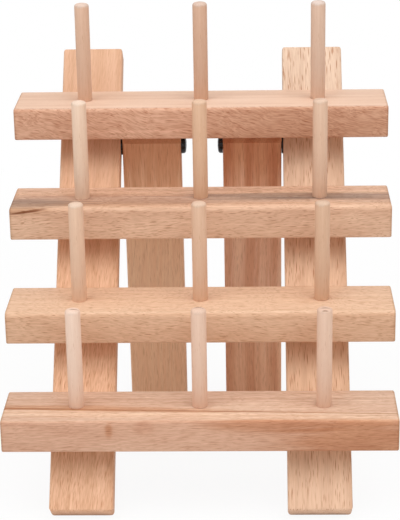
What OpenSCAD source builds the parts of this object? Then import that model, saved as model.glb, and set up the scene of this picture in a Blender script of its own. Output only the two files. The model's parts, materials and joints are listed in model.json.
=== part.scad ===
// Folding rack for thread spools: two leaning uprights carry four stepped crossbars with upright pegs,
// and two legs on pivot screws prop the frame from behind and fold flat between the uprights.

/* [Boards] */
// Thickness of the boards used for the uprights and legs
board_t = 11.5; // [9:0.5:15]
// Radius of the eased board edges
edge_r = 1.2; // [0.5:0.1:2]
// Radius of the board corners, seen on the wide face
corner_r = 2.2; // [1.5:0.1:4]

/* [Uprights] */
// Width of an upright
upright_w = 32.7; // [28:0.1:38]
// Length of an upright
upright_l = 261; // [245:1:290]
// Clear distance between the two uprights
upright_gap = 88.8; // [80:0.1:100]
// Lean of the uprights, back from the vertical
lean = 40; // [35:1:45]

/* [Crossbars] */
// Length of a crossbar
bar_l = 200; // [180:1:230]
// Height of a crossbar
bar_h = 17.2; // [14.5:0.1:20]
// Depth of a crossbar's level top
bar_depth = 36.5; // [31:0.5:40]
// Distance from one crossbar to the next, along the upright
bar_pitch = 57.2; // [50:0.1:60]
// Distance along the upright from its lower end to the first crossbar's seat
first_seat = 40.5; // [30:0.5:50]
// Radius of the crossbar's front upper edge
bar_front_r = 2.4; // [1.5:0.1:4]
// Radius of the crossbar's other eased edges
bar_edge_r = 1; // [0.5:0.1:1.4]

/* [Pegs] */
// Diameter of a peg
peg_d = 7.8; // [6:0.1:10]
// Height of a peg above the crossbar
peg_h = 53.3; // [35:0.1:70]
// Distance between the pegs of one row
peg_pitch = 63; // [50:0.5:70]
// Radius of the peg's rounded tip edge
peg_tip_r = 1.6; // [0.5:0.1:2.5]
// Width of the shoulder that seats the peg on the crossbar
peg_shoulder = 0.3; // [0.2:0.05:0.8]
// Length of the tenon that is glued into the crossbar
tenon_l = 10; // [7:0.5:11]
// Gap between the tenon and its socket, all round and below
tenon_clear = 0.05; // [0.02:0.01:0.15]

/* [Legs] */
// Width of a leg
leg_w = 32; // [28:0.1:36]
// Slant of the open legs, back from the vertical
leg_slant = 5; // [2:0.5:9]
// Distance along the upright from the top crossbar's seat down to the pivot
pivot_drop = 7; // [6:0.5:11]
// Gap between a folded leg and the backs of the crossbars
fold_gap = 0.5; // [0.3:0.1:1.5]
// Gap between an open leg's bevelled top and the back of the top crossbar
stop_gap = 0.3; // [0.2:0.1:1]
// Side play of a leg between washer and screw head
side_play = 0.15; // [0.1:0.05:0.4]

/* [Pivot screws and washers] */
// Diameter of the pivot screw's shank
screw_d = 5; // [4:0.1:5.5]
// Step from the shank down to the threaded end
thread_step = 0.3; // [0.1:0.05:0.5]
// Length of the threaded end inside the upright
thread_l = 20; // [12:0.5:24]
// Diameter of the pan head
head_d = 10; // [8:0.1:11]
// Height of the pan head
head_h = 2.8; // [2:0.1:4]
// Radius of the pan head's rounded rim
head_rim_r = 1.5; // [0.8:0.1:1.9]
// Span of the cross recess in the head
recess_span = 5.2; // [3:0.1:6.5]
// Width of each slot of the cross recess
recess_w = 1.2; // [0.8:0.1:1.6]
// Depth of the cross recess
recess_depth = 1.6; // [0.8:0.1:1.8]
// Diameter of the washer between leg and upright
washer_d = 11; // [9:0.1:11.5]
// Thickness of that washer
washer_t = 0.8; // [0.6:0.1:2]
// Radial clearance of the shank in the leg and washer
shank_clear = 0.08; // [0.02:0.01:0.1]
// Clearance of every screw in its pilot hole
pilot_clear = 0.03; // [0.01:0.01:0.1]

/* [Crossbar screws] */
// Shank diameter of the screws that hold the crossbars
bar_screw_d = 3.5; // [2.5:0.1:4]
// Head diameter of those countersunk screws
bar_screw_head_d = 7; // [5.5:0.1:8]
// Depth of those screws' heads below the upright's back
bar_screw_sink = 0.5; // [0.2:0.1:1.5]
// Length that those screws reach into the crossbar
bar_screw_bite = 7; // [5:0.5:7.5]
// Distance between the two screws of one joint
bar_screw_pitch = 19; // [16:0.5:19.5]

/* [Hidden] */
$fn = 48;
// Overrun that makes cuts pass clear through
cut = 1;
// Side of a block that takes away all that lies beyond a plane
half_space = 2 * upright_l;
// Length of the turned point at the tip of every screw
point_l = 2;

beech = "burlywood";
beech_dark = "tan";
peg_colour = "wheat";
black_metal = [0.12, 0.12, 0.13];
plated_metal = [0.75, 0.75, 0.72];

row_count = 4;
rows = [1:row_count];
columns = [-1:1];
sides = [-1, 1];
column_names = ["left", "middle", "right"];

// Places across the rack
upright_in_x = upright_gap / 2;
upright_mid_x = upright_in_x + upright_w / 2;
leg_out_x = upright_in_x - washer_t - side_play;
leg_in_x = leg_out_x - leg_w;
head_seat_x = leg_in_x - side_play;

// Places along an upright from its lower end, and into it from its front face
seat_l = bar_h / cos(lean);
pivot_along = seat_along(row_count) - pivot_drop;
pivot_depth = board_t / 2 + fold_gap;
fold_angle = lean + leg_slant;

// Places on a crossbar, back from the lower edge of its seat
bar_back = bar_h * tan(lean);
bar_front = bar_back - bar_depth;
peg_axis = bar_back - bar_depth / 2;

// Sizes that follow from others
tenon_d = peg_d - 2 * peg_shoulder;
thread_d = screw_d - 2 * thread_step;

// The frame stands on the eased back edge of its square lower ends, and is centred front to back
front_y = edge_r * (cos(lean) + sin(lean) - 1);
back_y = (board_t - edge_r) * cos(lean) + (upright_l - edge_r) * sin(lean) + edge_r;
foot_y = -(front_y + back_y) / 2;
foot_z = (board_t - edge_r) * sin(lean) - edge_r * cos(lean) + edge_r;
pivot_y = foot_y + pivot_depth * cos(lean) + pivot_along * sin(lean);
pivot_z = foot_z - pivot_depth * sin(lean) + pivot_along * cos(lean);

// Length of a leg below its pivot, to the eased front edge of its square foot
leg_l = edge_r + (pivot_z - edge_r - (board_t / 2 - edge_r) * sin(leg_slant)) / cos(leg_slant);
// Reach of a leg above its pivot, before its top is bevelled to meet the crossbar
leg_top = pivot_depth / sin(fold_angle) + board_t / 2 / tan(fold_angle);

function bar_name(row) = str("crossbar_", row);
function peg_name(row, column) = str("peg_", row, "_", column_names[column + 1]);
function seat_along(row) = first_seat + (row - 1) * bar_pitch;

// Rectangle with round corners, its lower left corner at the origin
module round_rect(size, r) {
    translate([r, 0]) square([size[0] - 2 * r, size[1]]);
    translate([0, r]) square([size[0], size[1] - 2 * r]);
    for (x = [r, size[0] - r], y = [r, size[1] - r]) translate([x, y]) circle(r);
}

// Standing board with eased edges: width along X, thickness along Y from the front face, length along Z
module eased_board(width, length) {
    intersection() {
        linear_extrude(length) round_rect([width, board_t], edge_r);
        translate([0, board_t, 0]) rotate([90, 0, 0]) linear_extrude(board_t)
            round_rect([width, length], corner_r);
        rotate([90, 0, 90]) linear_extrude(width) round_rect([board_t, length], edge_r);
    }
}

// Solid of revolution along Z with a rounded upper rim
module round_rim(d, h, r) {
    rotate_extrude() intersection() {
        square([d / 2, h]);
        union() {
            square([d / 2 - r, h]);
            square([d / 2, h - r]);
            translate([d / 2 - r, h - r]) circle(r);
        }
    }
}

// Shank that ends in a point, from the origin up
module pointed_shank(d, length) {
    cylinder(d = d, h = length - point_l);
    translate([0, 0, length - point_l]) cylinder(d1 = d, d2 = d / 3, h = point_l);
}

// Places a piece drawn along an upright: Z runs up it, Y runs into it from its front face
module on_uprights() {
    translate([0, foot_y, foot_z]) rotate([-lean, 0, 0]) children();
}

// Places a piece drawn on the lower edge of a crossbar's seat, with Z upright
module on_seat(row) {
    on_uprights() translate([0, 0, seat_along(row)]) rotate([lean, 0, 0]) children();
}

// Places a piece drawn along the pivot axis: Z runs outward through the leg into the upright
module on_pivot(side) {
    on_uprights() translate([0, pivot_depth, pivot_along]) rotate([0, side * 90, 0]) children();
}

// Places a copy at each of the two screws of one joint, going in at the upright's back
module at_bar_screws(side, row) {
    for (offset = [-0.5, 0.5] * bar_screw_pitch)
        on_uprights()
            translate([side * upright_mid_x + offset, board_t, seat_along(row) + seat_l / 2])
                rotate([90, 0, 0]) children();
}

// Countersunk screw along Z, from the upright's back face into the crossbar
module bar_screw(clear = 0) {
    d = bar_screw_d + 2 * clear;
    head_l = (bar_screw_head_d - bar_screw_d) / 2;
    length = board_t + bar_screw_bite - bar_screw_sink;
    translate([0, 0, bar_screw_sink - clear]) {
        cylinder(d1 = bar_screw_head_d + 2 * clear, d2 = d, h = head_l);
        pointed_shank(d, length + 2 * clear);
    }
}

// Hole for that screw, open at the upright's back
module bar_screw_hole() {
    bar_screw(pilot_clear);
    translate([0, 0, -cut])
        cylinder(d = bar_screw_head_d + 2 * pilot_clear, h = cut + bar_screw_sink - pilot_clear);
}

module upright(side) {
    color(beech) difference() {
        on_uprights() translate([side * upright_mid_x - upright_w / 2, 0, 0])
            eased_board(upright_w, upright_l);
        for (row = rows) at_bar_screws(side, row) bar_screw_hole();
        on_pivot(side) translate([0, 0, upright_in_x - cut])
            cylinder(d = thread_d + 2 * pilot_clear, h = thread_l + pilot_clear + cut);
    }
}

// Crossbar profile: X runs back from the seat's lower edge, Y up; its bevelled back seats on the uprights
module bar_profile() {
    difference() {
        polygon([[bar_front, 0], [0, 0], [bar_back, bar_h], [bar_front, bar_h]]);
        translate([bar_front - cut, bar_h - bar_front_r]) square(bar_front_r + cut);
        translate([bar_front - cut, -cut]) square(bar_edge_r + cut);
    }
    translate([bar_front + bar_front_r, bar_h - bar_front_r]) circle(bar_front_r);
    translate([bar_front + bar_edge_r, bar_edge_r]) circle(bar_edge_r);
}

module crossbar(row) {
    color(beech_dark) difference() {
        on_seat(row) intersection() {
            translate([-bar_l / 2, 0, 0]) rotate([90, 0, 90]) linear_extrude(bar_l) bar_profile();
            translate([-bar_l / 2, bar_depth, 0]) rotate([90, 0, 0]) linear_extrude(2 * bar_depth)
                round_rect([bar_l, bar_h], bar_edge_r);
            translate([-bar_l / 2, bar_front, 0]) linear_extrude(bar_h)
                round_rect([bar_l, 2 * bar_depth], bar_edge_r);
        }
        on_seat(row) for (column = columns)
            translate([column * peg_pitch, peg_axis, bar_h - tenon_l - tenon_clear])
                cylinder(d = tenon_d + 2 * tenon_clear, h = tenon_l + tenon_clear + cut);
        for (side = sides) at_bar_screws(side, row) bar_screw_hole();
    }
}

// Turned peg with a shoulder that sits on the crossbar and a tenon below it
module peg(row, column) {
    color(peg_colour) on_seat(row) translate([column * peg_pitch, peg_axis, bar_h]) {
        round_rim(peg_d, peg_h, peg_tip_r);
        translate([0, 0, -tenon_l]) cylinder(d = tenon_d, h = tenon_l);
    }
}

// Leg at its open slant, with its top bevelled to stop against the back of the top crossbar
module leg(side) {
    color(beech_dark) difference() {
        translate([side * (leg_in_x + leg_out_x) / 2 - leg_w / 2, pivot_y, pivot_z])
            rotate([leg_slant, 0, 0]) translate([0, -board_t / 2, -leg_l])
                eased_board(leg_w, leg_l + leg_top);
        on_uprights() translate([-half_space / 2, stop_gap - half_space, 0]) cube(half_space);
        on_pivot(side) translate([0, 0, leg_in_x - cut])
            cylinder(d = screw_d + 2 * shank_clear, h = leg_w + 2 * cut);
    }
}

// Pan-head screw driven from between the legs: the leg turns on its plain shank
module pivot_screw(side) {
    color(black_metal) on_pivot(side) {
        difference() {
            translate([0, 0, head_seat_x]) mirror([0, 0, 1]) round_rim(head_d, head_h, head_rim_r);
            for (turn = [0, 90]) rotate(turn)
                translate([-recess_span / 2, -recess_w / 2, head_seat_x - head_h - cut])
                    cube([recess_span, recess_w, recess_depth + cut]);
        }
        translate([0, 0, head_seat_x]) cylinder(d = screw_d, h = upright_in_x - head_seat_x);
        translate([0, 0, upright_in_x]) pointed_shank(thread_d, thread_l);
    }
}

module pivot_washer(side) {
    color(black_metal) on_pivot(side) translate([0, 0, upright_in_x - washer_t]) difference() {
        cylinder(d = washer_d, h = washer_t);
        translate([0, 0, -cut]) cylinder(d = screw_d + 2 * shank_clear, h = washer_t + 2 * cut);
    }
}

module crossbar_screws() {
    color(plated_metal) for (side = sides, row = rows) at_bar_screws(side, row) bar_screw();
}

upright(-1);  // upright_left
upright(1);  // upright_right
for (row = rows) crossbar(row);
for (row = rows, column = columns) peg(row, column);
leg(-1);  // leg_left
leg(1);  // leg_right
pivot_screw(-1);  // pivot_screw_left
pivot_screw(1);  // pivot_screw_right
pivot_washer(-1);  // pivot_washer_left
pivot_washer(1);  // pivot_washer_right
crossbar_screws();
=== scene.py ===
"""Beech thread rack with two folding legs: its finish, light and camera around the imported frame.

Lengths are in metres, in the CAD model's frame: X to the right, Y to the back, Z up.
"""
import json
from math import atan2, cos, pi, radians, sin, tan

import bpy
from mathutils import Euler, Matrix, Vector


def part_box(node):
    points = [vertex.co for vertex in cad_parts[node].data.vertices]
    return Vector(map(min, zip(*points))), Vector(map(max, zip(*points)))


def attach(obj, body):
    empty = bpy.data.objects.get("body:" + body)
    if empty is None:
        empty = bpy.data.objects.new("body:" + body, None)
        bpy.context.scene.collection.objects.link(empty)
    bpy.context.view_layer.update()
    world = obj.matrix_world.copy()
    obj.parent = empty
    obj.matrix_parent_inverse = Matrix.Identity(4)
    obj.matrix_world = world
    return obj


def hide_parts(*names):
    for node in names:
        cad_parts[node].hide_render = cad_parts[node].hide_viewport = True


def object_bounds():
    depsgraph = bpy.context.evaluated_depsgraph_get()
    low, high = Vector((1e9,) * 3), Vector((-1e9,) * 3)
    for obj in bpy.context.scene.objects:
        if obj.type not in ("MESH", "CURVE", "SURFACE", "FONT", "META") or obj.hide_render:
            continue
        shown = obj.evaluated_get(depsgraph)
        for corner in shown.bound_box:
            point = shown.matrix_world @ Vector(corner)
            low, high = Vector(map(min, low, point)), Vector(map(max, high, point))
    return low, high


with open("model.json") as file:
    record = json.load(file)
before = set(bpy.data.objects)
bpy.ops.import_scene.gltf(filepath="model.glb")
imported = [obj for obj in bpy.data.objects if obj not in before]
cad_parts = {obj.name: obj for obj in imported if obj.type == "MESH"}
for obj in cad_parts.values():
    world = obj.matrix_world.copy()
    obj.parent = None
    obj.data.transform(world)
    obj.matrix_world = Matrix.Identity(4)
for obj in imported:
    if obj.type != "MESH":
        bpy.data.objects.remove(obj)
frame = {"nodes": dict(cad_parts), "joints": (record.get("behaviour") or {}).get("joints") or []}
cad_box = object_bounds()

MM = 0.001
NEAR = 0.01 * MM

# Fineness of round pieces and eased edges, steps of a low dome, and the angle up to which shading is smooth
ROUND_SIDES = 48
SMALL_ROUND_SIDES = 32
FULL_STEPS = 6
EDGE_STEPS = 3
RIM_STEPS = 2
CROWN_SHARES = (0.7, 0.3)
SMOOTH_ANGLE = radians(35)

# What repeats on the rack
ROWS = (1, 2, 3, 4)
COLUMNS = ("left", "middle", "right")
SIDES = {"left": -1, "right": 1}

# Lean of the uprights and slant of the open legs, both from the vertical
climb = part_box("crossbar_4")[0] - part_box("crossbar_1")[0]
LEAN = atan2(climb.y, climb.z)
LEG_SLANT = -radians(frame["joints"][0]["range_deg"][0]) - LEAN

# Eased edges of the crossbars: the front upper edge of each row, the front lower edge, and the others
BAR_FRONT_EASE = {1: 1.6 * MM, 2: 3.2 * MM, 3: 2.2 * MM, 4: 1.9 * MM}
BAR_EDGE_EASE = 1.0 * MM
BAR_END_EASE = 0.8 * MM

# Pegs: eased tip and foot, and the low dome on the tip
PEG_TIP_EASE = 1.5 * MM
PEG_FOOT_EASE = 0.35 * MM
PEG_CROWN = 0.35 * MM
PEG_CROWN_STEP = 0.9 * MM

# Pan-head pivot screws and their washers
HEAD_HEIGHT = 2.8 * MM
HEAD_CROWN = 0.3 * MM
HEAD_CROWN_STEP = 1.4 * MM
HEAD_RIM_EASE = 1.4 * MM
SHANK_RADIUS = 2.5 * MM
THREAD_RADIUS = 2.2 * MM
THREAD_END_SHARE = 0.4
RECESS_SPAN = 5.2 * MM
RECESS_WIDTH = 1.2 * MM
RECESS_DEPTH = 1.6 * MM
RECESS_FLOOR_SHARE = 0.6
SIDE_PLAY = 0.15 * MM
WASHER_BORE = 2.58 * MM
WASHER_EASE = 0.25 * MM

# Countersunk screws at the back of the uprights
BOARD_THICKNESS = 11.5 * MM
SCREW_SINK = 0.5 * MM
SCREW_PITCH = 19 * MM
SCREW_HEAD_RADIUS = 3.5 * MM
SCREW_RIM = 0.25 * MM
SCREW_SHANK_RADIUS = 1.75 * MM
SCREW_LENGTH = 17.5 * MM
SCREW_TIP_SHARE = 0.5
SCREW_RECESS_SPAN = 3.8 * MM
SCREW_RECESS_WIDTH = 0.9 * MM
SCREW_RECESS_DEPTH = 1.3 * MM

# Camera of the photograph: place, turn in degrees and focal length
CAMERA_PLACE = (0.02693, -0.89662, 0.43669)
CAMERA_TURN = (69.981, 0.928, 1.431)
FOCAL_PX = 1790.8
PHOTO_HEIGHT_PX = 520
SENSOR = 36

# Floor: its white as seen, its grey for other light, its glow near the rack, and how far the shadow shows
FLOOR_SIDE = 8
FLOOR_WHITE = 0.95
FLOOR_BOUNCE = 0.85
FLOOR_GLOW = 0.92
SHADOW_REACH = 0.3
WHITE_REACH = 0.55

# Room light, and soft square lights: degrees to the right, degrees up and power
WORLD_LIGHT = 0.36
LIGHT_DISTANCE = 1.7
LIGHT_SIDE = 1.2
LIGHTS = {
    "left": (-55, 50, 9.2),
    "right": (55, 50, 10.2),
    "front": (0, 38, 3.2),
    "top": (0, 84, 8.2),
}


# Modelling


def begin(add_primitive, **settings):
    """Adds a primitive with nothing else selected, and goes into edit mode."""
    bpy.ops.object.select_all(action="DESELECT")
    add_primitive(**settings)
    bpy.ops.object.transform_apply(location=True, rotation=True, scale=True)
    bpy.ops.object.mode_set(mode="EDIT")


def pick(kind, *tests):
    """Selects the edges or faces whose points all pass one of the tests."""
    bpy.ops.mesh.select_mode(type=kind)
    bpy.ops.mesh.select_all(action="DESELECT")
    bpy.ops.object.mode_set(mode="OBJECT")
    mesh = bpy.context.object.data
    parts = {"EDGE": mesh.edges, "FACE": mesh.polygons}[kind]
    for part in parts:
        points = [mesh.vertices[i].co for i in part.vertices]
        part.select = any(all(test(point) for point in points) for test in tests)
    bpy.ops.object.mode_set(mode="EDIT")


def ease(size, segments, *tests):
    """Rounds the edges whose points all pass one of the tests."""
    pick("EDGE", *tests)
    bpy.ops.mesh.bevel(offset=size, segments=segments, profile=0.5, affect="EDGES")


def crown(top, width, rise):
    """Lifts the flat face at a height into a low dome, in steps of that width."""
    for share in CROWN_SHARES:
        pick("FACE", lambda point: point.z > top - NEAR)
        bpy.ops.mesh.inset(thickness=width)
        bpy.ops.transform.translate(value=(0, 0, rise * share))
        top += rise * share


def end(name):
    """Leaves edit mode, shades the piece smooth across its gentle edges and names it."""
    bpy.ops.object.mode_set(mode="OBJECT")
    piece = bpy.context.object
    bpy.ops.object.shade_smooth_by_angle(angle=SMOOTH_ANGLE)
    piece.name = name
    return piece


def cut(piece, cutter):
    """Takes one closed shape away from another."""
    bpy.ops.object.select_all(action="DESELECT")
    bpy.context.view_layer.objects.active = piece
    modifier = piece.modifiers.new("cut", "BOOLEAN")
    modifier.object = cutter
    modifier.solver = "EXACT"
    bpy.ops.object.modifier_apply(modifier=modifier.name)
    bpy.data.objects.remove(cutter)


def copy_to(master, name, place):
    """A copy of a modelled piece with its own mesh, put in its place by a matrix."""
    piece = master.copy()
    piece.data = master.data.copy()
    piece.data.transform(place)
    bpy.context.scene.collection.objects.link(piece)
    piece.name = name
    return piece


def dress(piece, material, body, slot, *nodes):
    """Gives a finished piece its material, the body it rides on and the nodes that it stands for."""
    piece.data.name = piece.name
    piece.data.materials.clear()
    piece.data.materials.append(material)
    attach(piece, body)
    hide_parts(*nodes)


def wear(node, material):
    """Gives a board of the frame its material."""
    board = frame["nodes"][node].data
    board.materials.clear()
    board.materials.append(material)


def middle(node):
    """Middle of a node's box at rest."""
    low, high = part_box(node)
    return (low + high) / 2


# Pieces


def crossbar(row):
    """Bar with a level top and a bevelled back that lies on the leaning uprights."""
    low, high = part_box(f"crossbar_{row}")
    size = high - low
    begin(bpy.ops.mesh.primitive_cube_add, size=1, location=(low + high) / 2, scale=size)
    bevel = size.z * tan(LEAN)
    heel = high.y - bevel
    pick("EDGE", lambda p: p.y > high.y - NEAR and p.z < low.z + NEAR)
    bpy.ops.transform.translate(value=(0, -bevel, 0))
    ease(BAR_FRONT_EASE[row], FULL_STEPS, lambda p: p.y < low.y + NEAR and p.z > high.z - NEAR)
    ease(BAR_EDGE_EASE, EDGE_STEPS, lambda p: p.y < low.y + NEAR and p.z < low.z + NEAR)
    ease(
        BAR_END_EASE, EDGE_STEPS,
        lambda p: p.x < low.x + NEAR,
        lambda p: p.x > high.x - NEAR,
        lambda p: p.y > high.y - NEAR and p.z > high.z - NEAR,
        lambda p: abs(p.y - heel) < NEAR and p.z < low.z + NEAR,
    )
    return end(f"bar_{row}")


def turned_peg():
    """Peg at the origin, up along Z from the top of its bar, with a domed tip."""
    low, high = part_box("peg_1_middle")
    height = high.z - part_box("crossbar_1")[1].z
    radius = (high.x - low.x) / 2
    body = height - PEG_CROWN
    begin(
        bpy.ops.mesh.primitive_cylinder_add, vertices=ROUND_SIDES, radius=radius, depth=body,
        location=(0, 0, body / 2),
    )
    ease(PEG_TIP_EASE, FULL_STEPS, lambda p: p.z > body - NEAR)
    ease(PEG_FOOT_EASE, RIM_STEPS, lambda p: p.z < NEAR)
    crown(body, PEG_CROWN_STEP, PEG_CROWN)
    return end("peg_master")


def cross_cutter(span, width, depth, top):
    """Two tapered arms that cut a screw's cross recess, their narrow ends down."""
    arms = []
    for turn in (0, pi / 2):
        begin(
            bpy.ops.mesh.primitive_cube_add, size=1, location=(0, 0, top), rotation=(0, 0, turn),
            scale=(span, width, 2 * depth),
        )
        pick("FACE", lambda p: p.z < top - depth + NEAR)
        bpy.ops.transform.resize(value=(RECESS_FLOOR_SHARE, RECESS_FLOOR_SHARE, 1))
        arms.append(end("arm"))
    return arms


def pan_screw():
    """Pan-head screw with its head up along Z from the origin, and its shank below."""
    low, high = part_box("pivot_screw_right")
    radius = (high.z - low.z) / 2
    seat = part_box("leg_right")[0].x - SIDE_PLAY
    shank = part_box("upright_right")[0].x - seat
    thread = high.x - seat - shank
    flat = HEAD_HEIGHT - HEAD_CROWN
    begin(
        bpy.ops.mesh.primitive_cylinder_add, vertices=ROUND_SIDES, radius=radius, depth=flat,
        location=(0, 0, flat / 2),
    )
    ease(HEAD_RIM_EASE, FULL_STEPS, lambda p: p.z > flat - NEAR)
    crown(flat, HEAD_CROWN_STEP, HEAD_CROWN)
    pick("FACE", lambda p: p.z < NEAR)
    bpy.ops.mesh.inset(thickness=radius - SHANK_RADIUS)
    bpy.ops.mesh.extrude_region_move(TRANSFORM_OT_translate={"value": (0, 0, -shank)})
    bpy.ops.mesh.inset(thickness=SHANK_RADIUS - THREAD_RADIUS)
    bpy.ops.mesh.extrude_region_move(TRANSFORM_OT_translate={"value": (0, 0, -thread)})
    bpy.ops.transform.resize(value=(THREAD_END_SHARE, THREAD_END_SHARE, 1))
    piece = end("pan_screw_master")
    for arm in cross_cutter(RECESS_SPAN, RECESS_WIDTH, RECESS_DEPTH, HEAD_HEIGHT):
        cut(piece, arm)
    return piece


def countersunk_screw():
    """Countersunk screw at the origin, its flat head up and its shank down along Z."""
    neck = SCREW_HEAD_RADIUS - SCREW_SHANK_RADIUS
    shank_share = SCREW_SHANK_RADIUS / SCREW_HEAD_RADIUS
    begin(
        bpy.ops.mesh.primitive_cylinder_add, vertices=SMALL_ROUND_SIDES, radius=SCREW_HEAD_RADIUS,
        depth=SCREW_RIM, location=(0, 0, -SCREW_RIM / 2),
    )
    pick("FACE", lambda p: p.z < -SCREW_RIM + NEAR)
    bpy.ops.mesh.extrude_region_move(TRANSFORM_OT_translate={"value": (0, 0, -neck)})
    bpy.ops.transform.resize(value=(shank_share, shank_share, 1))
    bpy.ops.mesh.extrude_region_move(TRANSFORM_OT_translate={"value": (0, 0, neck - SCREW_LENGTH)})
    bpy.ops.transform.resize(value=(SCREW_TIP_SHARE, SCREW_TIP_SHARE, 1))
    piece = end("countersunk_screw_master")
    for arm in cross_cutter(SCREW_RECESS_SPAN, SCREW_RECESS_WIDTH, SCREW_RECESS_DEPTH, 0):
        cut(piece, arm)
    return piece


def washer():
    """Flat ring with eased rims about the origin, its bore along Z."""
    low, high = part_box("pivot_washer_right")
    radius = (high.z - low.z) / 2
    half = (high.x - low.x) / 2
    begin(bpy.ops.mesh.primitive_cylinder_add, vertices=ROUND_SIDES, radius=radius, depth=2 * half)
    for face in (-half, half):
        ease(WASHER_EASE, RIM_STEPS, lambda p: abs(p.z - face) < NEAR)
    pick("FACE", lambda p: abs(abs(p.z) - half) < NEAR)
    bpy.ops.mesh.inset(thickness=radius - WASHER_EASE - WASHER_BORE)
    bpy.ops.mesh.bridge_edge_loops()
    return end("washer_master")


# Nodes


def add(tree, kind, values=None, **settings):
    """Adds a node. Values are its inputs by name or number: plain values, or sockets to link."""
    node = tree.nodes.new(kind)
    for name, value in settings.items():
        setattr(node, name, value)
    for name, value in (values or {}).items():
        if isinstance(value, bpy.types.NodeSocket):
            tree.links.new(value, node.inputs[name])
        else:
            node.inputs[name].default_value = value
    return node


def maths(tree, operation, *values, clamp=False):
    """Result of a sum with numbers or sockets."""
    node = add(tree, "ShaderNodeMath", dict(enumerate(values)), operation=operation, use_clamp=clamp)
    return node.outputs[0]


def vectors(tree, operation, *values):
    """Result of a sum with vectors or sockets."""
    return add(tree, "ShaderNodeVectorMath", dict(enumerate(values)), operation=operation).outputs[0]


def length_of(tree, vector):
    """Length of a vector."""
    return add(tree, "ShaderNodeVectorMath", {0: vector}, operation="LENGTH").outputs[1]


def reach_along(tree, vector, axis):
    """How far a place lies along an axis."""
    return add(tree, "ShaderNodeVectorMath", {0: vector, 1: axis}, operation="DOT_PRODUCT").outputs[1]


def noise(tree, vector, scale=1.0, detail=2.0):
    """Soft noise, as a node with a value and a colour."""
    return add(tree, "ShaderNodeTexNoise", {"Vector": vector, "Scale": scale, "Detail": detail})


def mixed(tree, share, first, second, blend="MIX"):
    """Mix of two colours by a share from 0 to 1."""
    values = {0: share, 6: first, 7: second}
    return add(tree, "ShaderNodeMix", values, data_type="RGBA", blend_type=blend).outputs[2]


def ramped(tree, value, start, stop, low=0.0, high=1.0):
    """Value carried smoothly from low to high between start and stop."""
    values = {"Value": value, "From Min": start, "From Max": stop, "To Min": low, "To Max": high}
    return add(tree, "ShaderNodeMapRange", values, interpolation_type="SMOOTHSTEP").outputs[0]


def paint(red, green, blue):
    """Linear colour of the eight-bit values that a picture shows."""
    steps = [value / 255 for value in (red, green, blue)]
    return tuple(s / 12.92 if s <= 0.04045 else ((s + 0.055) / 1.055) ** 2.4 for s in steps) + (1.0,)


def new_group(name, inputs, outputs):
    """Empty shader node group with named sockets, and its inputs' sockets."""
    group = bpy.data.node_groups.new(name, "ShaderNodeTree")
    for socket, kind in inputs.items():
        group.interface.new_socket(socket, in_out="INPUT", socket_type="NodeSocket" + kind)
    for socket, kind in outputs.items():
        group.interface.new_socket(socket, in_out="OUTPUT", socket_type="NodeSocket" + kind)
    return group, group.nodes.new("NodeGroupInput").outputs


def close_group(group, **results):
    """Links a group's results to its outputs."""
    out = group.nodes.new("NodeGroupOutput").inputs
    for socket, value in results.items():
        group.links.new(value, out[socket])
    return group


# Materials

# Grain: sway of its lines in millimetres, scales across and along it, and the span of each noise
GRAIN_SWAY = 4
GRAIN_SWAY_SCALE = 0.012
ACROSS_GRAIN = (1, 1, 0)
FIBRE_SCALE = (1.7, 1.7, 0.04)
MOTTLE_SCALE = (0.07, 0.07, 0.016)
RING_EDGES = (0.36, 0.64)
MOTTLE_EDGES = (0.3, 0.7)
FIBRE_EDGES = (0.32, 0.72)
FIBRE_ROUGH_EDGES = (0.3, 0.75)
WOOD_ROUGHNESS = (0.52, 0.68)

# Marks: scale of their ragged outline, how far it eats into them, and where a mark sets in and is full
RAGGED_SCALE = (0.55, 0.55, 0.025)
RAGGED_DEPTH = 0.9
MARK_EDGES = (1.5, 0.8)

# Flecks: scales of their sway, their two layers and the streaks, where each sets in, and how deep they lie
FLECK_SWAY_SCALE = 0.035
FLECK_LAYERS = (1.0, 1.7)
FLECK_CHANCE_EDGES = (1.0, 0.3)
FLECK_EDGES = (0.42, 0.12)
STREAK_SCALE = 1.2
STREAK_EDGES = (0.3, 0.7)
FLECK_RELIEF = -0.1

# Relief and shine of bare wood, and the haze on metal
WOOD_RELIEF = 0.3
WOOD_RELIEF_DEPTH = 0.1 * MM
BARE_WOOD_SHINE = 0.2
HAZE_SCALE = 900.0
HAZE_DETAIL = 3.0
HAZE_EDGES = (0.3, 0.7)


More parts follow.
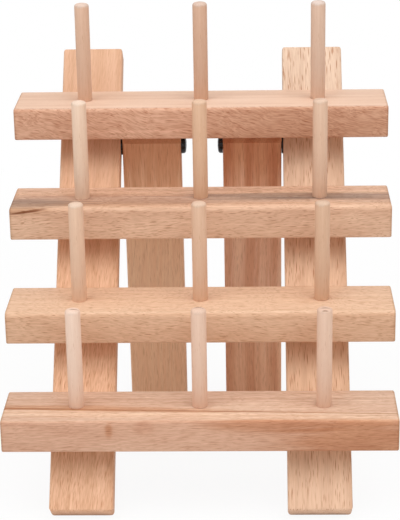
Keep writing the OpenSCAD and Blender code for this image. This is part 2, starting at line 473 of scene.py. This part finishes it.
def beech_grain():
    """Planed beech whose grain runs along Z, with places in millimetres: tone, roughness and fine fibre."""
    group, given = new_group("beech_grain", {
        "Vector": "Vector", "Pith": "Vector", "Pale": "Color", "Deep": "Color",
        "Ring Width": "Float", "Ring Strength": "Float", "Mottle": "Float", "Fibre": "Float",
    }, {"Color": "Color", "Roughness": "Float", "Height": "Float"})

    # Every line of grain sways a little
    sway = noise(group, given["Vector"], GRAIN_SWAY_SCALE).outputs["Color"]
    sway = vectors(group, "MULTIPLY_ADD", sway, (GRAIN_SWAY,) * 3, (-GRAIN_SWAY / 2,) * 3)
    wavy = vectors(group, "ADD", given["Vector"], sway)

    # Growth rings round a pith that lies along Z
    from_pith = vectors(group, "MULTIPLY", vectors(group, "SUBTRACT", wavy, given["Pith"]), ACROSS_GRAIN)
    ring_place = maths(group, "DIVIDE", length_of(group, from_pith), given["Ring Width"])
    rings = add(group, "ShaderNodeTexNoise", {"W": ring_place, "Scale": 1.0}, noise_dimensions="1D")
    rings = ramped(group, rings.outputs[0], *RING_EDGES)

    # Fine fibre along the grain, and slow changes of tone
    fibre = noise(group, vectors(group, "MULTIPLY", wavy, FIBRE_SCALE)).outputs[0]
    mottle = noise(group, vectors(group, "MULTIPLY", wavy, MOTTLE_SCALE), detail=1.0).outputs[0]
    fibre_tone = ramped(group, fibre, *FIBRE_EDGES)
    mottle_tone = ramped(group, mottle, *MOTTLE_EDGES)

    tone = maths(group, "MULTIPLY", rings, given["Ring Strength"])
    tone = maths(group, "MULTIPLY_ADD", mottle_tone, given["Mottle"], tone)
    tone = maths(group, "MULTIPLY_ADD", fibre_tone, given["Fibre"], tone, clamp=True)
    colour = mixed(group, tone, given["Pale"], given["Deep"])
    roughness = ramped(group, fibre, *FIBRE_ROUGH_EDGES, *WOOD_ROUGHNESS)
    return close_group(group, Color=colour, Roughness=roughness, Height=fibre)


def beech_mark():
    """A ragged region about a place in millimetres that tints the wood: stains, streaks and end grain,
    changes of tone, and painted shade and painted highlights.
    """
    group, given = new_group("beech_mark", {
        "Vector": "Vector", "Color": "Color", "Tint": "Color",
        "Place": "Vector", "Size": "Vector", "Turn": "Vector",
    }, {"Color": "Color"})
    ragged_place = vectors(group, "MULTIPLY", given["Vector"], RAGGED_SCALE)
    ragged = noise(group, ragged_place, detail=3.0).outputs[0]
    turn = {"Vector": given["Vector"], "Center": given["Place"], "Rotation": given["Turn"]}
    turned = add(group, "ShaderNodeVectorRotate", turn, rotation_type="EULER_XYZ").outputs[0]
    offset = vectors(group, "DIVIDE", vectors(group, "SUBTRACT", turned, given["Place"]), given["Size"])
    reach = maths(group, "MULTIPLY_ADD", ragged, RAGGED_DEPTH, length_of(group, offset))
    share = ramped(group, reach, *MARK_EDGES)
    return close_group(group, Color=mixed(group, share, given["Color"], given["Tint"], "MULTIPLY"))


def beech_flecks():
    """Ray flecks: short dark dashes at a small tilt to the grain, over dense and fainter streaks.

    They show in full up to a place along the fade's axis, and change to a share of that behind it.
    """
    group, given = new_group("beech_flecks", {
        "Vector": "Vector", "Color": "Color", "Height": "Float", "Fleck": "Color",
        "Fleck Width": "Float", "Fleck Length": "Float", "Fleck Tilt": "Float", "Fleck Sway": "Float",
        "Fleck Cover": "Float", "Fleck Strength": "Float", "Streak Strength": "Float",
        "Fade Axis": "Vector", "Fade Start": "Float", "Fade Length": "Float", "Fade Rest": "Float",
    }, {"Color": "Color", "Height": "Float"})

    # Places along the dashes, which sway and tilt
    sway = noise(group, given["Vector"], FLECK_SWAY_SCALE).outputs["Color"]
    wavy = vectors(group, "MULTIPLY_ADD", sway, given["Fleck Sway"], given["Vector"])
    tilt = {"Vector": wavy, "Angle": given["Fleck Tilt"]}
    tilted = add(group, "ShaderNodeVectorRotate", tilt, rotation_type="Y_AXIS").outputs[0]
    sizes = {"X": given["Fleck Width"], "Y": given["Fleck Width"], "Z": given["Fleck Length"]}
    dash = add(group, "ShaderNodeCombineXYZ", sizes).outputs[0]
    dash_place = vectors(group, "DIVIDE", tilted, dash)

    # Two layers of dashes, of which a share is kept, and streaks between them
    layers = []
    for scale in FLECK_LAYERS:
        cells = add(group, "ShaderNodeTexVoronoi", {"Vector": dash_place, "Scale": scale}).outputs
        chance = add(group, "ShaderNodeSeparateColor", {0: cells["Color"]}).outputs[0]
        kept = ramped(group, maths(group, "DIVIDE", chance, given["Fleck Cover"]), *FLECK_CHANCE_EDGES)
        layers.append(maths(group, "MULTIPLY", ramped(group, cells["Distance"], *FLECK_EDGES), kept))
    flecks = maths(group, "MULTIPLY", maths(group, "MAXIMUM", *layers), given["Fleck Strength"])
    streaks = ramped(group, noise(group, dash_place, STREAK_SCALE).outputs[0], *STREAK_EDGES)
    both = maths(group, "MULTIPLY_ADD", streaks, given["Streak Strength"], flecks)

    # Their share past the start of the fade
    along = reach_along(group, given["Vector"], given["Fade Axis"])
    past = maths(group, "SUBTRACT", along, given["Fade Start"])
    past = maths(group, "DIVIDE", past, given["Fade Length"])
    shown = ramped(group, past, 0.0, 1.0, 1.0, given["Fade Rest"])
    share = maths(group, "MULTIPLY", both, shown, clamp=True)
    height = maths(group, "MULTIPLY_ADD", share, FLECK_RELIEF, given["Height"])
    colour = mixed(group, share, given["Color"], given["Fleck"], "MULTIPLY")
    return close_group(group, Color=colour, Height=height)


BEECH_GRAIN = beech_grain()
BEECH_MARK = beech_mark()
BEECH_FLECKS = beech_flecks()

# Turns that lay the grain of each kind of piece along Z
ALONG_BAR = (0, -pi / 2, 0)
ALONG_UPRIGHT = (LEAN, 0, 0)
ALONG_LEG = (-LEG_SLANT, 0, 0)
ALONG_PEG = (0, 0, 0)

NO_TURN = (0, 0, 0)

# What a board's grain and flecks have where its own look says nothing else
SANDED = {"Pith": (70, -45, 0), "Ring Width": 5.0, "Ring Strength": 0.4, "Mottle": 0.35, "Fibre": 0.3}
FLECKED = {
    "Fleck Sway": 5.0, "Fade Axis": (0, 1, 0), "Fade Start": 0.0, "Fade Length": 2.0, "Fade Rest": 1.0,
}


def place_group(tree, group, values):
    """Puts a node group in a material. Values are its inputs: plain values, or sockets to link."""
    return add(tree, "ShaderNodeGroup", values, node_tree=group).outputs


def beech(name, centre, turn, own_grain, own_flecks, marks):
    """Sanded beech for a piece about that centre, its grain turned to Z.

    Marks are tint, place and size, in millimetres from the centre, and a turn where one crosses the grain.
    """
    material = bpy.data.materials.new(name)
    material.use_nodes = True
    tree = material.node_tree
    shader = tree.nodes["Principled BSDF"]
    shader.inputs["Specular IOR Level"].default_value = BARE_WOOD_SHINE
    where = add(tree, "ShaderNodeTexCoord").outputs["Object"]
    shift = Euler(turn).to_matrix() @ -Vector(centre)
    lay = add(tree, "ShaderNodeMapping", {"Vector": where, "Location": shift, "Rotation": turn}).outputs[0]
    place = add(tree, "ShaderNodeVectorMath", {0: lay, "Scale": 1 / MM}, operation="SCALE").outputs[0]
    wood = place_group(tree, BEECH_GRAIN, {"Vector": place, **SANDED, **own_grain})
    colour = wood["Color"]
    for tint, mark_place, size, *turns in marks:
        values = {"Tint": paint(*tint), "Place": mark_place, "Size": size}
        values["Turn"] = turns[0] if turns else NO_TURN
        colour = place_group(tree, BEECH_MARK, {"Vector": place, "Color": colour, **values})["Color"]
    values = {"Vector": place, "Color": colour, "Height": wood["Height"], **FLECKED, **own_flecks}
    dashes = place_group(tree, BEECH_FLECKS, values)
    relief = {"Height": dashes["Height"], "Strength": WOOD_RELIEF, "Distance": WOOD_RELIEF_DEPTH}
    tree.links.new(dashes["Color"], shader.inputs["Base Color"])
    tree.links.new(wood["Roughness"], shader.inputs["Roughness"])
    tree.links.new(add(tree, "ShaderNodeBump", relief).outputs[0], shader.inputs["Normal"])
    return material


def steel(name, dark, light, metallic, smooth, rough):
    """Metal with a fine haze in its colour and polish."""
    material = bpy.data.materials.new(name)
    material.use_nodes = True
    tree = material.node_tree
    shader = tree.nodes["Principled BSDF"]
    shader.inputs["Metallic"].default_value = metallic
    where = add(tree, "ShaderNodeTexCoord").outputs["Object"]
    haze = noise(tree, where, HAZE_SCALE, HAZE_DETAIL).outputs[0]
    tree.links.new(mixed(tree, ramped(tree, haze, *HAZE_EDGES), dark, light), shader.inputs["Base Color"])
    tree.links.new(ramped(tree, haze, *HAZE_EDGES, smooth, rough), shader.inputs["Roughness"])
    return material


# Stage


def seen_directly(tree):
    """One for rays that show a surface to the camera, straight, mirrored or through glass."""
    path = add(tree, "ShaderNodeLightPath").outputs
    seen = maths(tree, "MAXIMUM", path["Is Camera Ray"], path["Is Glossy Ray"])
    return maths(tree, "MAXIMUM", seen, path["Is Transmission Ray"])


def floor():
    """White floor that keeps the rack's shadow, and turns to pure white away from the rack."""
    bpy.ops.object.select_all(action="DESELECT")
    bpy.ops.mesh.primitive_plane_add(size=FLOOR_SIDE)
    piece = bpy.context.object
    piece.name = "floor"
    material = bpy.data.materials.new("white_floor")
    material.use_nodes = True
    tree = material.node_tree
    tree.nodes.clear()
    seen = seen_directly(tree)
    white = (FLOOR_WHITE, FLOOR_WHITE, FLOOR_WHITE, 1)
    grey = (FLOOR_BOUNCE, FLOOR_BOUNCE, FLOOR_BOUNCE, 1)
    matt = add(tree, "ShaderNodeBsdfDiffuse", {"Color": mixed(tree, seen, grey, white)})
    glow = add(tree, "ShaderNodeEmission", {"Color": (1, 1, 1, 1), "Strength": 1.0})
    away = length_of(tree, add(tree, "ShaderNodeTexCoord").outputs["Object"])
    share = ramped(tree, away, SHADOW_REACH, WHITE_REACH, FLOOR_GLOW, 1.0)
    share = maths(tree, "MULTIPLY", seen, share)
    both = add(tree, "ShaderNodeMixShader", {0: share, 1: matt.outputs[0], 2: glow.outputs[0]})
    add(tree, "ShaderNodeOutputMaterial", {"Surface": both.outputs[0]})
    piece.data.materials.append(material)


def white_room():
    """World that shows white and lights the rack evenly and softly."""
    world = bpy.data.worlds.new("white_room")
    bpy.context.scene.world = world
    world.use_nodes = True
    tree = world.node_tree
    tree.nodes.clear()
    strength = maths(tree, "MULTIPLY_ADD", seen_directly(tree), 1 - WORLD_LIGHT, WORLD_LIGHT)
    white = add(tree, "ShaderNodeBackground", {"Color": (1, 1, 1, 1), "Strength": strength})
    add(tree, "ShaderNodeOutputWorld", {"Surface": white.outputs[0]})


def soft_light(name, side_angle, height_angle, power):
    """Large square light that faces the rack's middle from an angle to the side and a height angle."""
    target = (Vector(cad_box[0]) + Vector(cad_box[1])) / 2
    turn = Euler((radians(90 - height_angle), 0, radians(side_angle)))
    place = target + turn.to_matrix() @ Vector((0, 0, LIGHT_DISTANCE))
    light = bpy.data.lights.new(name, "AREA")
    light.size = LIGHT_SIDE
    light.energy = power
    lamp = bpy.data.objects.new(name, light)
    lamp.location = place
    lamp.rotation_euler = turn
    bpy.context.scene.collection.objects.link(lamp)


def photo_camera():
    """Camera that sees the rack as the photograph does."""
    data = bpy.data.cameras.new("photo_camera")
    data.sensor_width = SENSOR
    data.lens = FOCAL_PX / PHOTO_HEIGHT_PX * SENSOR
    camera = bpy.data.objects.new("photo_camera", data)
    camera.location = CAMERA_PLACE
    camera.rotation_euler = [radians(angle) for angle in CAMERA_TURN]
    bpy.context.scene.collection.objects.link(camera)
    bpy.context.scene.camera = camera


# Looks of the boards and pegs, with places in millimetres from the middle


def sockets(values):
    """Values by the names of the sockets that take them."""
    return {name.replace("_", " "): value for name, value in values.items()}


def grain(pale, deep, **more):
    """Tones of a board's grain, and what else differs from plain sanded beech."""
    return {"Pale": paint(*pale), "Deep": paint(*deep)} | sockets(more)


def flecks(tint, width, length, cover, strength, streaks=0.0, tilt=0.0, **more):
    """Flecks of a board: tint, width and length in millimetres, cover, strength, streaks and tilt."""
    return {
        "Fleck": paint(*tint), "Fleck Width": width, "Fleck Length": length, "Fleck Cover": cover,
        "Fleck Strength": strength, "Streak Strength": streaks, "Fleck Tilt": tilt,
    } | sockets(more)


def end_grain(reach):
    """Thin darker slabs of end grain at both ends of a board, that far from its middle."""
    return [(END_TINT, (0, 0, side * reach / MM), (WIDE, WIDE, END_DEPTH)) for side in (-1, 1)]


# Tints are what is left of each colour: 255 changes nothing, more is paler. WIDE takes in a whole piece
WIDE = 1000
END_TINT = (234, 228, 221)
END_DEPTH = 1.3

BAR_GRAIN = {
    1: grain((236, 206, 182), (216, 176, 151), Pith=(20, 260, 0), Ring_Width=3.0, Ring_Strength=0.5),
    2: grain(
        (240, 205, 175), (225, 184, 153),
        Pith=(10, 300, 0), Ring_Width=1.6, Ring_Strength=0.5, Mottle=0.15,
    ),
    3: grain((240, 202, 172), (217, 173, 144), Pith=(30, 200, 0), Ring_Width=4.5, Ring_Strength=0.5),
    4: grain((236, 203, 180), (222, 183, 157), Pith=(40, 180, 0), Ring_Width=6.0, Ring_Strength=0.4),
}
BAR_FLECKS = {
    1: flecks((204, 180, 160), 0.6, 8.0, 0.5, 0.5, 0.41, 0.03),
    2: flecks((200, 175, 152), 0.5, 7.0, 0.4, 0.95, 0.36, -0.08),
    3: flecks((192, 164, 142), 0.5, 8.0, 0.42, 1.0, 0.32, 0.05),
    4: flecks((192, 150, 122), 0.8, 8.0, 0.8, 0.57, 0.43, -0.26, Fleck_Sway=12.0),
}

# Share of a bar's flecks that its top shows, and how deep behind the front face the top's share begins
BAR_TOP_FLECKS = {1: 1.15, 2: 1.0, 3: 1.5, 4: 0.15}
BAR_FRONT_DEPTH = 1

# Turns of the streaks that cross the grain on a bar's top and on its front
TOP_SLANT = (-0.044, 0, 0)
FRONT_SLANT = (0, 0.14, 0)

# Marks on the bars, with places down from the middle, back from it and to the right; among them painted
# shade and painted highlights
BAR_MARKS = {
    1: [
        # Paler front strip of the top: lighter wood in front of the dark line, and painted highlight
        # towards the front edge
        ((267, 269, 267), (-8, -12, 0), (3, 6.5, 300), TOP_SLANT),
        ((240, 224, 210), (-8, -2.2, -65), (5, 4, 95), TOP_SLANT),
        ((215, 187, 163), (-8, -4.2, -65), (6, 1.6, 105), TOP_SLANT),
        ((218, 196, 179), (-8, -8.6, 50), (5, 0.9, 90), TOP_SLANT),
        # Painted shade: the whole front face a little darker and redder than the top
        ((253, 238, 231), (0, -18.3, 0), (WIDE, 1.5, WIDE)),
        ((233, 211, 192), (5, -18, 80), (26, 2.5, 52)),
        ((236, 218, 203), (-7, -18, 36), (7, 2.5, 48)),
        ((237, 217, 199), (-3.5, -18, -45.5), (5.5, 2.5, 2.6)),
        ((246, 238, 234), (-4.5, -18, -28), (4.5, 2.5, 7)),
    ],
    # Painted shade: the whole front face a little darker and redder than the top
    2: [((248, 240, 235), (0, -18.3, 0), (WIDE, 1.5, WIDE))],
    3: [
        ((262, 266, 270), (-8, 14, 0), (4, 7, 300)),
        ((232, 234, 240), (-8, -3, 0), (5, 10, 300)),
        ((212, 216, 220), (-8, 1, 52), (5, 8, 80)),
        ((222, 222, 224), (-8, -3, 65), (5, 3, 70)),
        ((236, 230, 226), (-8, -10, -40), (5, 8, 60)),
        ((206, 208, 210), (-8, -9, -94), (4, 9, 45)),
        # Painted highlight: a paler band at the front of the top, from the middle to the right end, where
        # the rounded front edge catches the light
        ((263, 266, 268), (-8, -15.5, 55), (2.4, 3, 80)),
        ((228, 219, 209), (-8.6, -18.3, -101), (4.5, 3, 34)),
        ((172, 142, 119), (-7.1, -18.3, -90), (0.8, 2.5, 16), FRONT_SLANT),
    ],
    4: [
        # Painted shade: the whole front face a little darker and redder than the top
        ((249, 232, 222), (0, -18.3, 0), (WIDE, 1.5, WIDE)),
        ((240, 234, 229), (0, -18.3, 60), (WIDE, 2.0, 70)),
        ((264, 266, 268), (4.2, -18.3, -30), (1.4, 2.0, 60)),
    ],
}

# Uprights, with changes of tone along the board: tint, place up from its middle, and reach
UPRIGHT_GRAIN = {
    "left": grain((243, 199, 165), (225, 177, 141)),
    "right": grain((243, 205, 173), (227, 186, 154)),
}
UPRIGHT_TONES = {
    "left": [((244, 244, 247), 100, 70), ((263, 266, 268), -40, 80), ((252, 252, 253), -130, 22)],
    "right": [
        ((252, 266, 279), 130, 60), ((246, 248, 251), 62, 34),
        ((250, 247, 244), -54, 34), ((247, 247, 249), -130, 22),
    ],
}
UPRIGHT_FLECKS = {
    "left": flecks(
        (196, 148, 110), 0.55, 9.0, 0.7, 0.65, 0.33, -0.1,
        Fleck_Sway=1.5, Fade_Axis=(0, 0, 1), Fade_Start=-40, Fade_Length=90, Fade_Rest=0.45,
    ),
    "right": flecks(
        (190, 142, 112), 0.7, 11.0, 0.5, 1.15, 0.22,
        Fleck_Sway=1.0, Fade_Axis=(0, 0, -1), Fade_Start=-105, Fade_Length=45, Fade_Rest=0.72,
    ),
}

# Legs, with a tint at each end that reaches that far along the board: painted shade at the top, under the
# top crossbar, and a tint at the foot
LEG_GRAIN = {
    # Both legs' tones are painted paler than the wood itself, as painted light for their shaded place
    # behind the crossbars
    "left": grain((255, 219, 184), (250, 206, 169), Ring_Width=1.5, Ring_Strength=0.5),
    "right": grain((254, 214, 183), (228, 170, 137), Ring_Width=6.0, Ring_Strength=0.65),
}
LEG_FLECKS = {
    "left": flecks((196, 166, 142), 0.5, 11.0, 0.6, 0.5, 0.2, Fleck_Sway=1.5),
    "right": flecks((180, 146, 124), 0.5, 10.0, 0.5, 0.5, 0.15, Fleck_Sway=1.5),
}
LEG_TOP_PAINTED_SHADE = {"left": (229, 207, 195), "right": (230, 205, 186)}
LEG_FOOT_TINTS = {"left": (253, 244, 239), "right": (247, 235, 225)}
LEG_TOP_REACH = 55
LEG_FOOT_REACH = 75

# Pegs by row, with a tint of their own for some, and a tint on the tips: end grain, on rows 2 to 4 painted
# paler as a painted highlight
PEG_GRAIN = {
    1: grain((247, 218, 198), (235, 200, 176), Ring_Strength=0.3, Mottle=0.2),
    2: grain((233, 195, 166), (219, 175, 145), Ring_Strength=0.3, Mottle=0.2),
    3: grain((232, 193, 162), (218, 172, 138), Ring_Strength=0.3, Mottle=0.2),
    4: grain((223, 184, 158), (207, 164, 136), Ring_Strength=0.3, Mottle=0.2),
}
PEG_FLECKS = flecks((220, 198, 180), 0.5, 10.0, 0.3, 0.5)
PEG_TINTS = {
    "peg_1_middle": (248, 242, 238),
    "peg_1_right": (246, 239, 234),
    "peg_2_left": (260, 265, 269),
    "peg_2_right": (249, 248, 246),
    "peg_3_left": (268, 284, 300),
    "peg_3_right": (257, 264, 274),
    "peg_4_left": (262, 265, 267),
    "peg_4_right": (262, 272, 280),
}
PEG_TIP_GRAIN_AND_HIGHLIGHT = {1: (244, 245, 247), 2: (247, 256, 265), 3: (247, 252, 258), 4: (250, 266, 284)}
PEG_TIP_REACH = 2.5

# Short dark strokes of end grain on the tips of some pegs: how far to the right and back of the axis
STROKE_SIZE = (3.2, 0.5, 1.5)
STROKE_TINTS = {1: (172, 148, 130), 2: (214, 200, 190), 3: (222, 212, 204), 4: (214, 200, 190)}
PEG_STROKES = {
    "peg_1_left": [(1.1, -0.6)],
    "peg_1_middle": [(-0.2, 2.4), (0.3, 0.7)],
    "peg_1_right": [(0.4, -0.6), (0.6, -3.2)],
    "peg_2_left": [(-0.8, 0.8)],
    "peg_2_right": [(0.9, 0.2)],
    "peg_3_left": [(0.2, 1.9)],
    "peg_3_right": [(-0.6, -0.8)],
    "peg_4_middle": [(0.8, 0.4)],
    "peg_4_right": [(0.2, 1.5), (1.4, -0.4)],
}

# Steels: their dark and light tones, metallic share, and roughness from smooth to rough
BLACK_STEEL = ((0.008, 0.008, 0.009, 1), (0.03, 0.03, 0.032, 1), 0.6, 0.2, 0.36)
PLATED_STEEL = ((0.42, 0.42, 0.40, 1), (0.62, 0.62, 0.60, 1), 1.0, 0.26, 0.44)


# Putting the rack together


def dress_bars():
    """Crossbars, each with its own grain, flecks and marks, among them painted shade on the front faces and
    painted highlights.
    """
    for row in ROWS:
        node = f"crossbar_{row}"
        low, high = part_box(node)
        marks = BAR_MARKS[row] + end_grain((high.x - low.x) / 2)
        front = (low.y - high.y) / 2 / MM
        fade = {"Fade Start": front + BAR_FRONT_DEPTH, "Fade Rest": BAR_TOP_FLECKS[row]}
        look = BAR_GRAIN[row], BAR_FLECKS[row] | fade, marks
        material = beech(f"beech_bar_{row}", middle(node), ALONG_BAR, *look)
        dress(crossbar(row), material, "frame", "beech_crossbars", node)


def peg_marks(node, row, tip):
    """End grain and, on rows 2 to 4, a painted highlight on a peg's tip, the peg's own tint where it has
    one, and the strokes on the tip.
    """
    marks = [(PEG_TIP_GRAIN_AND_HIGHLIGHT[row], (0, 0, tip / MM), (WIDE, WIDE, PEG_TIP_REACH))]
    if node in PEG_TINTS:
        marks.append((PEG_TINTS[node], (0, 0, 0), (WIDE, WIDE, WIDE)))
    for right, back in PEG_STROKES.get(node, []):
        marks.append((STROKE_TINTS[row], (right, back, tip / MM), STROKE_SIZE))
    return marks


def dress_pegs():
    """Pegs, copied from one and put on their bars."""
    master = turned_peg()
    for row in ROWS:
        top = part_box(f"crossbar_{row}")[1].z
        for column in COLUMNS:
            node = f"peg_{row}_{column}"
            centre = middle(node)
            marks = peg_marks(node, row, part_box(node)[1].z - centre.z)
            look = PEG_GRAIN[row], PEG_FLECKS, marks
            material = beech(f"beech_peg_{row}_{column}", centre, ALONG_PEG, *look)
            place = Matrix.Translation((centre.x, centre.y, top))
            dress(copy_to(master, f"dowel_{row}_{column}", place), material, "frame", "beech_pegs", node)
    bpy.data.objects.remove(master)


def half_length(board, slant):
    """Half the length of a board that stands at that slant."""
    low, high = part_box(board)
    return (high.z - low.z) / 2 / cos(slant)


def dress_uprights():
    """Materials of the uprights, which keep the frame's shape."""
    for side in SIDES:
        node = f"upright_{side}"
        marks = [(tint, (0, 0, height), (WIDE, WIDE, reach)) for tint, height, reach in UPRIGHT_TONES[side]]
        marks += end_grain(half_length(node, LEAN))
        look = UPRIGHT_GRAIN[side], UPRIGHT_FLECKS[side], marks
        wear(node, beech(f"beech_{node}", middle(node), ALONG_UPRIGHT, *look))


def dress_legs():
    """Materials of the legs, which keep the frame's shape, with painted shade at their tops."""
    for side in SIDES:
        node = f"leg_{side}"
        half = half_length(node, LEG_SLANT)
        marks = [
            # Painted shade at the top of the leg, under the top crossbar
            (LEG_TOP_PAINTED_SHADE[side], (0, 0, half / MM), (WIDE, WIDE, LEG_TOP_REACH)),
            (LEG_FOOT_TINTS[side], (0, 0, -half / MM), (WIDE, WIDE, LEG_FOOT_REACH)),
        ]
        look = LEG_GRAIN[side], LEG_FLECKS[side], marks + end_grain(half)
        wear(node, beech(f"beech_{node}", middle(node), ALONG_LEG, *look))


def fit_pivots():
    """Pan-head screws with their heads inwards, and the washers between legs and uprights."""
    black = steel("black_steel", *BLACK_STEEL)
    screw, ring = pan_screw(), washer()
    for side, sign in SIDES.items():
        pivot = middle(f"pivot_washer_{side}")
        seat = sign * (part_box("leg_right")[0].x - SIDE_PLAY)
        place = Matrix.Translation((seat, pivot.y, pivot.z)) @ Matrix.Rotation(-sign * pi / 2, 4, "Y")
        piece = copy_to(screw, f"pan_screw_{side}", place)
        dress(piece, black, "frame", "black_steel", f"pivot_screw_{side}")
        place = Matrix.Translation(pivot) @ Matrix.Rotation(pi / 2, 4, "Y")
        piece = copy_to(ring, f"washer_{side}", place)
        dress(piece, black, "frame", "black_steel", f"pivot_washer_{side}")
    bpy.data.objects.remove(screw)
    bpy.data.objects.remove(ring)


def screw_places():
    """Places of the countersunk screws, two beside each other at the back of each joint."""
    out_of_back = Vector((0, cos(LEAN), -sin(LEAN)))
    turn = Matrix.Rotation(-pi / 2 - LEAN, 4, "X")
    for side in SIDES:
        across = middle(f"upright_{side}").x
        for row in ROWS:
            low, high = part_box(f"crossbar_{row}")
            size = high - low
            seat = Vector((across, high.y - size.z * tan(LEAN) / 2, low.z + size.z / 2))
            back = seat + out_of_back * (BOARD_THICKNESS - SCREW_SINK)
            for step in (-SCREW_PITCH / 2, SCREW_PITCH / 2):
                yield Matrix.Translation(back + Vector((step, 0, 0))) @ turn


def fit_bar_screws():
    """Countersunk screws that hold the crossbars, joined into one piece."""
    plated = steel("plated_steel", *PLATED_STEEL)
    master = countersunk_screw()
    screws = [copy_to(master, "screw", place) for place in screw_places()]
    bpy.data.objects.remove(master)
    bpy.ops.object.select_all(action="DESELECT")
    for screw in screws:
        screw.select_set(True)
    bpy.context.view_layer.objects.active = screws[0]
    bpy.ops.object.join()
    screws[0].name = "countersunk_screws"
    dress(screws[0], plated, "frame", "plated_steel", "crossbar_screws")


photo_camera()
white_room()
floor()
for name, setting in LIGHTS.items():
    soft_light(name, *setting)
bpy.context.scene.view_settings.view_transform = "Standard"

dress_bars()
dress_pegs()
dress_uprights()
dress_legs()
fit_pivots()
fit_bar_screws()
